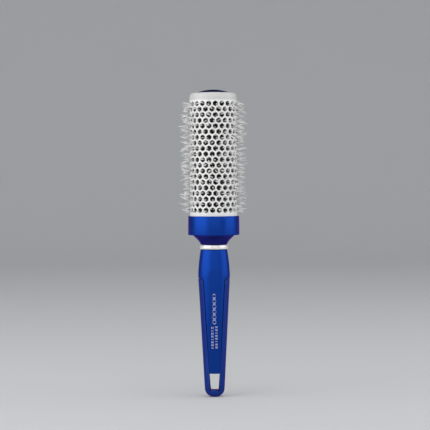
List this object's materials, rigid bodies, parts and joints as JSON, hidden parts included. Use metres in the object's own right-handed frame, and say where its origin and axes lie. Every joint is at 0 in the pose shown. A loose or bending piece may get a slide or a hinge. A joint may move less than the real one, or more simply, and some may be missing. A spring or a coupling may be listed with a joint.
{
  "type": "round hair brush",
  "caption": "Round vented styling brush: perforated barrel with bristles through its hexagonal holes, flared collar, trim ring and a tapered handle with a hanging loop.",
  "frame": {"origin": "on the brush's axis at the handle's end", "axes": "+Z along the axis from the handle's end to the barrel, front of the handle faces -Y, +X to its right"},
  "size_m": [0.064, 0.064, 0.2805],
  "materials": {
    "blue_lacquer": "satin blue lacquer",
    "blue_grip": "satin blue soft coating",
    "bright_trim": "bright plated",
    "screw_steel": "zinc plated",
    "ferrule_brass": "plain brass",
    "core_steel": "drawn wire",
    "white_barrel": "satin white ceramic coating on a thin aluminium tube",
    "dark_plug": "satin dark blue",
    "bristle_nylon": "translucent white nylon"
  },
  "bodies": {
    "root": {"handle_core": "blue_lacquer", "grip_sleeve": "blue_grip", "trim_ring": "bright_trim", "collar": "blue_lacquer", "joint_screw": "screw_steel", "core_ferrule": "ferrule_brass", "core_wire_a": "core_steel", "core_wire_b": "core_steel", "barrel": "white_barrel", "end_plug": "dark_plug", "bristle_row_01": "bristle_nylon", "bristle_row_02": "bristle_nylon", "bristle_row_03": "bristle_nylon", "bristle_row_04": "bristle_nylon", "bristle_row_05": "bristle_nylon", "bristle_row_06": "bristle_nylon", "bristle_row_07": "bristle_nylon", "bristle_row_08": "bristle_nylon", "bristle_row_09": "bristle_nylon", "bristle_row_10": "bristle_nylon", "bristle_row_11": "bristle_nylon", "bristle_row_12": "bristle_nylon", "bristle_row_13": "bristle_nylon", "bristle_row_14": "bristle_nylon", "bristle_row_15": "bristle_nylon", "bristle_row_16": "bristle_nylon", "bristle_row_17": "bristle_nylon", "bristle_row_18": "bristle_nylon", "bristle_row_19": "bristle_nylon", "bristle_row_20": "bristle_nylon"}
  },
  "joints": []
}
